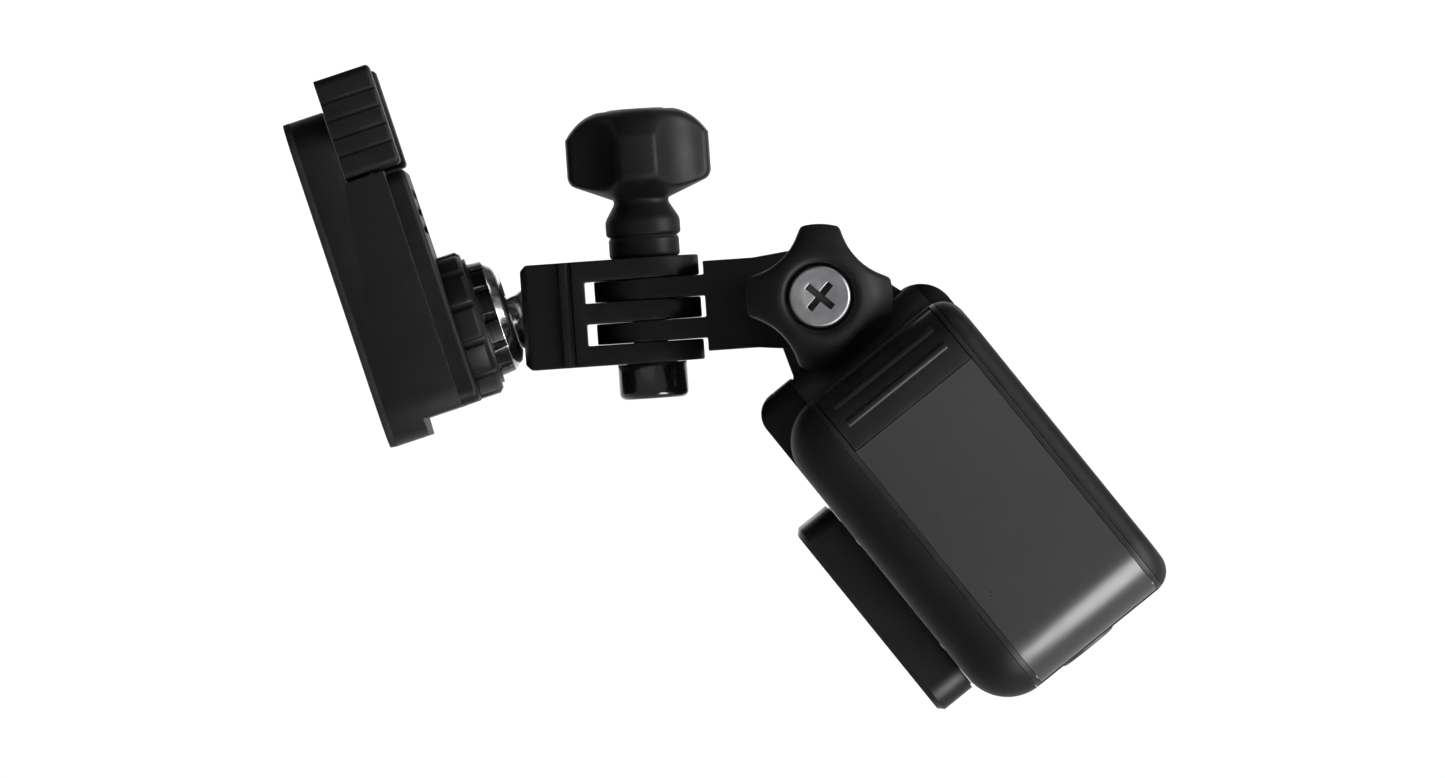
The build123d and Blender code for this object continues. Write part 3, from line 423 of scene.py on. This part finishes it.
# %% Glass and screen finishes
cover_glass = finish("cover_glass", (0.93, 0.95, 0.96), 0.03, 2.0, 0.0002, mottle=0.01, uneven=0.02,
                     Transmission_Weight=1.0, IOR=1.5, Thin_Film_Thickness=380.0, Thin_Film_IOR=1.38)
lens_glass = finish("lens_glass", (0.9, 0.94, 0.97), 0.02, 2.0, 0.0002, mottle=0.01, uneven=0.01,
                    Transmission_Weight=1.0, IOR=1.6, Thin_Film_Thickness=460.0, Thin_Film_IOR=1.38)
screen_black = finish("screen_black", (0.004, 0.004, 0.0045), 0.07, 3.0, 0.0004, uneven=0.05,
                      Coat_Weight=0.6, Coat_Roughness=0.03)
panel_dark = finish("panel_dark", (0.012, 0.012, 0.014), 0.3, 0.12, 0.002, cells=True)
light_window = finish("light_window", (0.35, 0.03, 0.02), 0.2, 0.4, 0.002, mottle=0.3, Coat_Weight=0.3)

# %% Finishes for the insides
board_green = finish("board_green", (0.01, 0.075, 0.035), 0.35, 0.8, 0.02, mottle=0.5, cells=True,
                     stretch=(1, 3, 1))
chip_epoxy = finish("chip_epoxy", (0.015, 0.015, 0.016), 0.5, 0.15, 0.006)
battery_case = finish("battery_case", (0.035, 0.036, 0.04), 0.42, 0.2, 0.006, mottle=0.2)
tray_plastic = finish("tray_plastic", (0.045, 0.045, 0.048), 0.5, 0.25, 0.008)
print("finishes:", len(bpy.data.materials))

# %% [markdown]
# ## Base, buckle and latch prongs
# The base is a moulded plate on a foam adhesive pad, with two rails. The buckle slides down between the
# rails and two prongs snap into notches. All of it is prismatic moulding, so the working shapes are right
# as they are and need only their soft edges. The pad's edges stay nearly sharp, because foam tape is cut
# with a blade.

# %% Base pieces
base_pieces = {
    "base_plate": ("base", 0.45, "mount_plastic"),
    "buckle_frame": ("buckle", 0.35, "mount_plastic"),
    "latch_prong_left": ("latch_left", 0.3, "mount_plastic"),
    "latch_prong_right": ("latch_right", 0.3, "mount_plastic"),
}
for node, (body, radius, slot) in base_pieces.items():
    finished(softened(node, radius), body, [node], spark_nylon)
finished(softened("adhesive_pad", 0.08, steps=2), "base", ["adhesive_pad"], foam_tape)
print("base pieces:", len(base_pieces) + 1)

# %% [markdown]
# ## Turret, collar and ball
# The turret turns on the buckle and holds the ball. Its flange has finger notches, and a steel collar
# screws down over the ball. The working shapes already hold the notches and flutes, so they are softened
# copies. The collar's faces beyond a set height take a second, polished finish, since the arm's neck rubs
# there.

# %% Turret, collar and ball stud
POLISHED_FROM = 2.7 * MM  # above the ball's centre, where the collar's mouth is left bright


def second_finish(obj, material, belongs):
    """Gives a second finish to the faces whose centre passes a test."""
    obj.data.materials.append(material)
    for face in obj.data.polygons:
        if belongs(face.center):
            face.material_index = 1
    return obj


def by_the_mouth(point):
    """True for a point on the collar's outer end."""
    return (point - ball_centre).dot(out_of_shell) > POLISHED_FROM


finished(softened("swivel_turret", 0.25), "turret", ["swivel_turret"], smooth_nylon)
collar = softened("socket_collar", 0.18)
finished(collar, "turret", ["socket_collar"], blackened_steel)
second_finish(collar, polished_steel, by_the_mouth)
print("ball centre", [round(c / MM, 2) for c in ball_centre])
finished(softened("ball_stud", 0.1), "inner_arm", ["ball_stud"], polished_steel)

# %% [markdown]
# ## The linked arms
# Two short arms join at the pan screw: three fingers interleave with two. They are plain mouldings, so
# they are softened copies with one small round everywhere.

# %% Arms
finished(softened("inner_arm", 0.35), "inner_arm", ["inner_arm"], spark_nylon)
finished(softened("outer_arm", 0.35), "outer_arm", ["outer_arm"], spark_nylon)

# %% [markdown]
# ## Thumb screws
# Each thumb screw is a four-lobed knob moulded over a steel bolt. The lobes are what is left between four
# wide hollows, and every edge between them flows. A hollow cut by a boolean would leave a crease, so the
# knob is one spun surface whose radius is the softer of two limits: its own profile and the hollows.

# %% The rule for the lobes
LOBES = 4
KNOB_RADIUS = 10.2
KNOB_WAIST = 7.5
HOLLOW_RADIUS = 9.0
BLEND = 0.35
CROWN_DROP = 4.0
CROWN_POWER = 4


def lobed(angle, radius, height):
    """The softer of the profile's radius and the wall of the nearest hollow."""
    away = (angle % (tau / LOBES)) - pi / LOBES
    reach = KNOB_WAIST + HOLLOW_RADIUS
    under_root = HOLLOW_RADIUS**2 - (reach * sin(away)) ** 2
    inside_the_waist = radius < KNOB_WAIST - 3 * BLEND
    if under_root < 0 or inside_the_waist:
        return radius
    wall = reach * cos(away) - under_root**0.5
    return -BLEND * log(exp(-radius / BLEND) + exp(-wall / BLEND))


# %% The knob's profile, in millimetres above the face that it clamps
FOOT_RADIUS = 5.0
GROOVE_RADIUS = 4.7
RING_RADIUS = 5.3
STEM_RADIUS = 3.9
RECESS_RADIUS = 4.8
RECESS_FLOOR = 2.4
RIM_WIDTH = 0.7
CROWN_STEPS = 12
CROWN_CROWDING = 1.5
stem_heights = [
    (0, 0),
    (FOOT_RADIUS, 0),
    (FOOT_RADIUS, 2.6),
    (GROOVE_RADIUS, 2.95),
    (RING_RADIUS, 3.3),
    (RING_RADIUS, 5.4),
    (STEM_RADIUS, 7.7),
    (STEM_RADIUS, 8.3),
    (STEM_RADIUS + 0.5, 8.5),
    (KNOB_RADIUS - 0.5, 10.7),
    (KNOB_RADIUS, 11.6),
]
print("stem height:", stem_heights[-1][1], "mm")


# %% Knobs
def filled_in(profile, spacing):
    """The same profile with extra points, so that no two are farther apart than the spacing."""
    dense = []
    for (r0, z0), (r1, z1) in zip(profile, profile[1:]):
        parts = max(1, round(((r1 - r0) ** 2 + (z1 - z0) ** 2) ** 0.5 / spacing))
        dense += [(r0 + (r1 - r0) * k / parts, z0 + (z1 - z0) * k / parts) for k in range(parts)]
    dense.append(profile[-1])
    return dense


def knob(name, axes, node, body):
    """A thumb screw's knob, drawn along its screw from the face that it clamps."""
    low, high = measure(node, axes)
    foot = low.z / MM
    top = high.z / MM
    stem = [(radius, foot + height) for radius, height in stem_heights]
    stem.append((KNOB_RADIUS, top - CROWN_DROP))
    inward = RECESS_RADIUS + RIM_WIDTH - KNOB_RADIUS
    dome = []
    for step in range(1, CROWN_STEPS + 1):
        radius = KNOB_RADIUS + inward * (step / CROWN_STEPS) ** CROWN_CROWDING
        dome.append((radius, top - CROWN_DROP * (radius / KNOB_RADIUS) ** CROWN_POWER))
    recess = [(RECESS_RADIUS, top - 0.8), (RECESS_RADIUS, top - RECESS_FLOOR), (0, top - RECESS_FLOOR)]
    profile = filled_in(rounded(stem, 0.55) + dome + recess, 0.5)
    piece = spun(name, profile, axes, steps=160, rule=lobed)
    return finished(piece, body, [node], knob_satin)


knob("pan_knob_lobed", pan_axes, "pan_knob", "pan_screw")
knob("tilt_knob_lobed", tilt_screw_axes, "tilt_knob", "tilt_screw")
print("knob lobes:", LOBES)

# %% Bolts and nuts
CROSS_TURN = 25
CROSS_TOP = 0.15 * MM
CROSS_FLOOR = 1.2 * MM
CROSS_REACH = 2.6 * MM


def bolt(node, body, axes):
    """A screw with its cross recess turned as a driver left it, and painted darker for the shade inside
    it.
    """
    piece = softened(node, 0.12)
    piece.data.transform(axes @ Matrix.Rotation(radians(CROSS_TURN), 4, "Z") @ axes.inverted())
    finished(piece, body, [node], zinc_plate)
    head_top = measure(node, axes)[1].z
    inverse = axes.inverted()

    def in_the_cross(point):
        local = inverse @ point
        return CROSS_TOP < head_top - local.z < CROSS_FLOOR and local.xy.length < CROSS_REACH

    # The faces inside the cross take the dark finish, which is painted shade.
    return second_finish(piece, recess_painted_shade, in_the_cross)


bolt("pan_bolt", "pan_screw", pan_axes)
bolt("tilt_bolt", "tilt_screw", tilt_screw_axes)
for node, body in (("pan_nut", "inner_arm"), ("tilt_nut", "outer_arm")):
    finished(softened(node, 0.2), body, [node], gloss_cap)
print("cross turned by", CROSS_TURN, "degrees")

# %% [markdown]
# ## The camera's casing
# The casing is a soft-touch front shell and rear bezel on a harder middle frame, which shows as thin
# strips beside the door. The rounds of the shells are already in the working shapes, so only the seams
# between them are softened.

# %% Casing
casing = {
    "front_shell": (0.12, "body_rubber", soft_touch),
    "rear_bezel": (0.12, "body_rubber", soft_touch),
    "chassis": (0.1, "chassis_plastic", filled_plastic),
    "finger_cradle": (0.2, "chassis_plastic", filled_plastic),
    "folding_finger_left": (0.25, "chassis_plastic", filled_plastic),
    "folding_finger_right": (0.25, "chassis_plastic", filled_plastic),
}
for node, (radius, slot, material) in casing.items():
    finished(softened(node, radius), "camera", [node], material)

# %% [markdown]
# ## Door, latch and buttons
# The side door is one smooth panel that wraps round the top corner to its hinge, and the latch wraps the
# bottom corner. They have the only clean reflection on the body, so their surfaces must stay unbroken.

# %% Door, latch and buttons
finished(softened("side_door", 0.12), "door", ["side_door"], door_satin)
finished(softened("door_latch", 0.15), "latch", ["door_latch"], latch_plastic)
finished(softened("shutter_button", 0.1), "shutter", ["shutter_button"], button_plastic)
finished(softened("mode_button", 0.1), "mode", ["mode_button"], button_plastic)

# %% [markdown]
# ## Lens cover, lens and screens
# A square cover with a glass window twists on over the lens. The glass pieces are thin solids with two
# faces each, so light bends in and out of them as it should.

# %% Lens cover and screens
glazing = {
    "lens_cover_frame": ("lens_cover", 0.3, "lens_cover_black", smooth_nylon),
    "lens_cover_glass": ("lens_cover", 0.12, "clear_glass", cover_glass),
    "rear_screen_glass": ("camera", 0.1, "screen_glass", screen_black),
    "front_screen_glass": ("camera", 0.1, "screen_glass", screen_black),
}
for node, (body, radius, slot, material) in glazing.items():
    finished(softened(node, radius), body, [node], material)

# %% [markdown]
# ## The lens mouth and the screen borders
# Behind the cover's glass a real lens shows rings that step inwards, which stop stray light, and a domed
# front element with a coloured sheen. The rings are turned metal, so they are one spun profile of small
# steps. Each screen has a thin moulded lip round it, drawn as a swept ring.

# %% Stepped lens mouth
lens_low, lens_high = measure("lens_barrel", camera_axes)
lens_middle = (lens_low + lens_high) / 2
barrel_radius = (lens_high.x - lens_low.x) / 2 / MM
lens_face = Vector((lens_middle.x, lens_middle.y, lens_low.z))
lens_axes = camera_axes @ Matrix.Translation(lens_face)
STEP_RINGS = 5
STEP_IN = 0.32
STEP_DOWN = 0.14
MOUTH_DEPTH = 1.4
outside = barrel_radius - 0.15
lip = barrel_radius - 1.0
bore = barrel_radius - 2.7
ring_profile = [(outside, MOUTH_DEPTH), (outside, 0.0), (lip, 0.0)]
for ring in range(STEP_RINGS):
    edge = lip - STEP_IN * ring
    depth = STEP_DOWN * ring
    ring_profile.append((edge, depth + 0.02))
    ring_profile.append((edge - 0.1, depth + STEP_DOWN))
    ring_profile.append((edge - STEP_IN, depth + STEP_DOWN))
ring_profile += [(bore, MOUTH_DEPTH), (outside, MOUTH_DEPTH)]
rings = spun("lens_mouth_rings", ring_profile, lens_axes, steps=96)
finished(rings, "camera", (), lens_anodised)
print("lens mouth steps:", STEP_RINGS)

# %% Lips round the screens
LIP_WIDTH = 0.45
LIP_DEPTH = 0.12
LIP_GAP = 0.1
LIP_SHOULDER = 0.6
SCREEN_CORNER = 2.5 * MM
CORNER_STEPS = 8
lip_section = [
    (LIP_GAP, -1),
    (LIP_GAP, LIP_SHOULDER),
    (LIP_GAP + LIP_WIDTH / 2, 1),
    (LIP_GAP + LIP_WIDTH, LIP_SHOULDER),
    (LIP_GAP + LIP_WIDTH, -1),
]


def screen_outline(low, high, face):
    """The points round a rectangle with round corners, at one height."""
    size = high - low
    middle = (low + high) / 2
    outline = []
    for quarter, (sx, sy) in enumerate(((1, 1), (-1, 1), (-1, -1), (1, -1))):
        for step in range(CORNER_STEPS + 1):
            angle = (quarter + step / CORNER_STEPS) * pi / 2
            x = middle.x + sx * (size.x / 2 - SCREEN_CORNER) + cos(angle) * SCREEN_CORNER
            y = middle.y + sy * (size.y / 2 - SCREEN_CORNER) + sin(angle) * SCREEN_CORNER
            outline.append(Vector((x, y, face)))
    return outline


def screen_lip(name, node, outward):
    """A thin frame just outside a screen's glass, level with it, so that the lens cover clears it."""
    low, high = measure(node, camera_axes)
    half_depth = outward * LIP_DEPTH * MM / 2
    face = (high.z if outward > 0 else low.z) - half_depth
    middle = (low + high) / 2
    middle.z = face
    bm = bmesh.new()
    sections = []
    for point in screen_outline(low, high, face):
        away = (point - middle).normalized()
        corners = [point + away * out * MM + Vector((0, 0, up * half_depth)) for out, up in lip_section]
        sections.append([bm.verts.new(corner) for corner in corners])
    for here, after in zip(sections, sections[1:] + sections[:1]):
        for k in range(len(here)):
            on = (k + 1) % len(here)
            bm.faces.new((here[k], after[k], after[on], here[on]))
    bmesh.ops.recalc_face_normals(bm, faces=bm.faces)
    bm.transform(camera_axes)
    piece = settle(object_from(name, bm), radians(35))
    return finished(piece, "camera", (), soft_touch)


screen_lip("rear_screen_lip", "rear_screen_glass", 1)
screen_lip("front_screen_lip", "front_screen_glass", -1)
print("screen lips:", LIP_WIDTH, "mm wide")

# %% [markdown]
# ## The insides
# Boards, battery and small parts are hidden until the door is open or the casing is off. Their working
# shapes stay, and each takes the finish of the real material.

# %% Finishes for the pieces that keep their working shape
inner_finishes = {
    lens_anodised: ["lens_barrel"],
    lens_glass: ["lens_elements"],
    board_green: ["sensor_board", "main_board"],
    chip_epoxy: ["board_chips", "memory_card", "speaker", "microphone"],
    panel_dark: ["rear_display_panel", "front_display_panel"],
    copper_sheet: ["heat_spreader"],
    battery_case: ["battery"],
    tray_plastic: ["battery_tray"],
    stamped_steel: ["usb_port", "card_slot", "button_switches", "case_screws", "door_hinge_pin",
                    "folding_pins", "finger_magnets", "swivel_screw", "swivel_washer"],
    seal_rubber: ["door_seal"],
    light_window: ["status_light_front", "status_light_rear"],
}
for material, names in inner_finishes.items():
    for node in names:
        for index in range(len(nodes[node].material_slots)):
            nodes[node].material_slots[index].material = material
print("kept nodes:", sum(len(names) for names in inner_finishes.values()))

# %% [markdown]
# ## Floor, light and camera
# Black plastic shows only what it reflects. A tall soft box to the right draws the long highlights on the
# door's wrapped end, the rear edge and the screws. Little light comes from the camera's own side, so flat
# faces stay deep. The floor is a round disc that curves up into a wall on every side, so that no horizon
# shows from anywhere. It stands farther out than any viewpoint, and each wash light faces it with its
# back to the object.

# %% Floor and wall in one round sheet
centre = (Vector(cad_box[0]) + Vector(cad_box[1])) / 2
FLOOR_DROP = 1.4
WALL_RADIUS = 3.6
WALL_CURVE = 1.0
WALL_TOP = 4.0
floor_centre = centre - Vector((0, 0, FLOOR_DROP))
section = [(0, 0)]
for turn in range(0, 91, 6):
    out = WALL_RADIUS - WALL_CURVE * (1 - sin(radians(turn)))
    up = WALL_CURVE * (1 - cos(radians(turn)))
    section.append((out, up))
section.append((WALL_RADIUS, WALL_TOP))
in_mm = [(radius / MM, height / MM) for radius, height in section]
studio_sheet = spun("studio_sheet", in_mm, Matrix.Translation(floor_centre), steps=128)
studio_paper = finish("studio_paper", (0.86, 0.86, 0.86), 0.7, 1.5, 0.02, mottle=0.01)
studio_sheet.data.materials.append(studio_paper)
print("wall", WALL_RADIUS, "m out")


# %% Lights
def soft_box(name, place, target, width, height, power):
    """A rectangular area light that faces a point and is itself out of sight."""
    light = bpy.data.lights.new(name, "AREA")
    light.shape = "RECTANGLE"
    light.size = width
    light.size_y = height
    light.energy = power
    obj = bpy.data.objects.new(name, light)
    bpy.context.scene.collection.objects.link(obj)
    obj.location = place
    obj.rotation_euler = (Vector(target) - Vector(place)).to_track_quat("-Z", "Y").to_euler()
    obj.visible_camera = False
    return obj


soft_box("strip_right", centre + Vector((0.66, -0.3, -0.02)), centre, 0.26, 0.7, 10.0)
soft_box("low_right", centre + Vector((0.36, -0.42, -0.42)), centre, 0.34, 0.34, 4.4)
soft_box("top_right", centre + Vector((0.3, -0.1, 0.75)), centre, 0.4, 0.3, 1.0)
soft_box("fill_front", centre + Vector((-0.3, -0.9, 0.35)), centre, 0.9, 0.6, 0.5)
soft_box("wash_behind", centre + Vector((0, 1.9, 1.6)), centre + Vector((0, 3.6, 0)), 2.6, 0.6, 72)
soft_box("wash_before", centre + Vector((0, -1.9, 1.6)), centre + Vector((0, -3.6, 0)), 2.6, 0.6, 6)
print("soft boxes:", len(bpy.data.lights))

# %% A little light from all round
world = bpy.data.worlds.new("studio_air")
world.use_nodes = True
air = world.node_tree.nodes["Background"]
air.inputs["Color"].default_value = (0.9, 0.92, 0.95, 1)
air.inputs["Strength"].default_value = 0.08
bpy.context.scene.world = world
print("air strength:", round(air.inputs["Strength"].default_value, 3))

# %% Camera, level with the object and square to its side
view = bpy.data.cameras.new("side_view")
eye = bpy.data.objects.new("side_view", view)
bpy.context.scene.collection.objects.link(eye)
EYE_DISTANCE = 1.6
FRAME_WIDTH = 0.205
eye.location = centre + Vector((0, -EYE_DISTANCE, 0))
eye.rotation_euler = (radians(90), 0, 0)
view.lens = view.sensor_width * EYE_DISTANCE / FRAME_WIDTH
bpy.context.scene.camera = eye
bpy.context.scene.view_settings.view_transform = "Standard"
print("lens", round(view.lens), "mm")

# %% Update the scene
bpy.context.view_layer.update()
